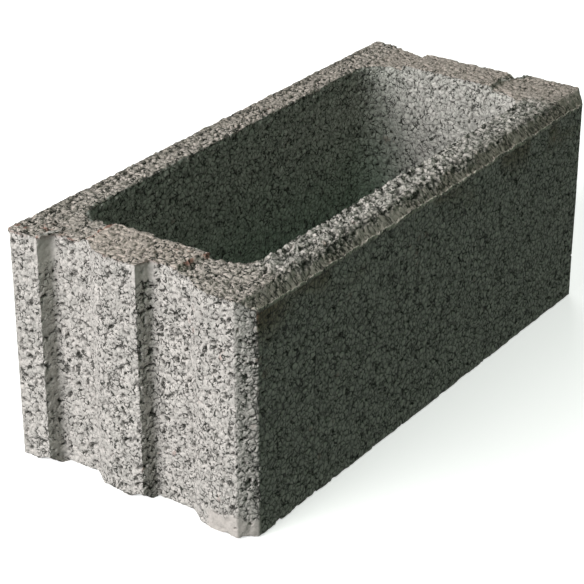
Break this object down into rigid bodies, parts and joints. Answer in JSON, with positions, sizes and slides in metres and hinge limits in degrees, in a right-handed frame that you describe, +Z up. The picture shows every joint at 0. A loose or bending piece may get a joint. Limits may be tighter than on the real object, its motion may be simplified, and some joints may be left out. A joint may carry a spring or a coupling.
{
  "type": "hollow concrete block",
  "caption": "Rectangular lightweight-aggregate concrete block with one long through chamber, mortar grooves in its ends and chamfered outer edges.",
  "frame": {"origin": "centre of the footprint on the bed face, so the block stands on z = 0", "axes": "+X along the block, from the end with two mortar grooves to the end with one wide recess; +Y across the width; +Z up, towards the open top with the two low ridges"},
  "size_m": [0.49, 0.225, 0.194],
  "materials": {
    "concrete": "matte"
  },
  "bodies": {
    "root": {"block": "concrete"}
  },
  "joints": []
}
